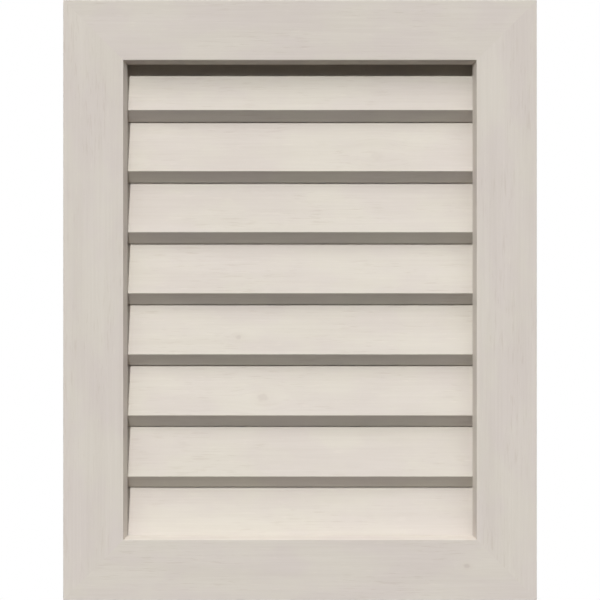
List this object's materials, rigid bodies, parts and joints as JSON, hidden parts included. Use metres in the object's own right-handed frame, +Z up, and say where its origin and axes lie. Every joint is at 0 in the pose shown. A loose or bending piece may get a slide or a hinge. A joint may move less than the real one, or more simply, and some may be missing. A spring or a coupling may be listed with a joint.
{
  "type": "gable vent",
  "caption": "Rectangular wall vent: leaning wooden louvers in a box behind a flat mitred trim frame, with a wire screen across the back.",
  "frame": {"origin": "middle of the wall plane, on the back face of the trim", "axes": "+Z up the wall, +Y into the wall, +X to the right as seen from outside"},
  "size_m": [0.7016, 0.0858, 0.889],
  "materials": {
    "primed_wood": "matt primer with faint grain",
    "bare_wood": "bare",
    "wire": "galvanised",
    "steel": "bright wire"
  },
  "bodies": {
    "root": {"trim_top_rail": "primed_wood", "trim_right_stile": "primed_wood", "trim_bottom_rail": "primed_wood", "trim_left_stile": "primed_wood", "box_head": "primed_wood", "box_sill": "primed_wood", "box_right_jamb": "primed_wood", "box_left_jamb": "primed_wood", "louver_1": "primed_wood", "louver_2": "primed_wood", "louver_3": "primed_wood", "louver_4": "primed_wood", "louver_5": "primed_wood", "louver_6": "primed_wood", "louver_7": "primed_wood", "louver_8": "primed_wood", "insect_screen": "wire", "mitre_splines": "bare_wood", "louver_nails": "steel", "corner_nails": "steel", "trim_pins": "steel", "screen_staples": "steel"}
  },
  "joints": []
}
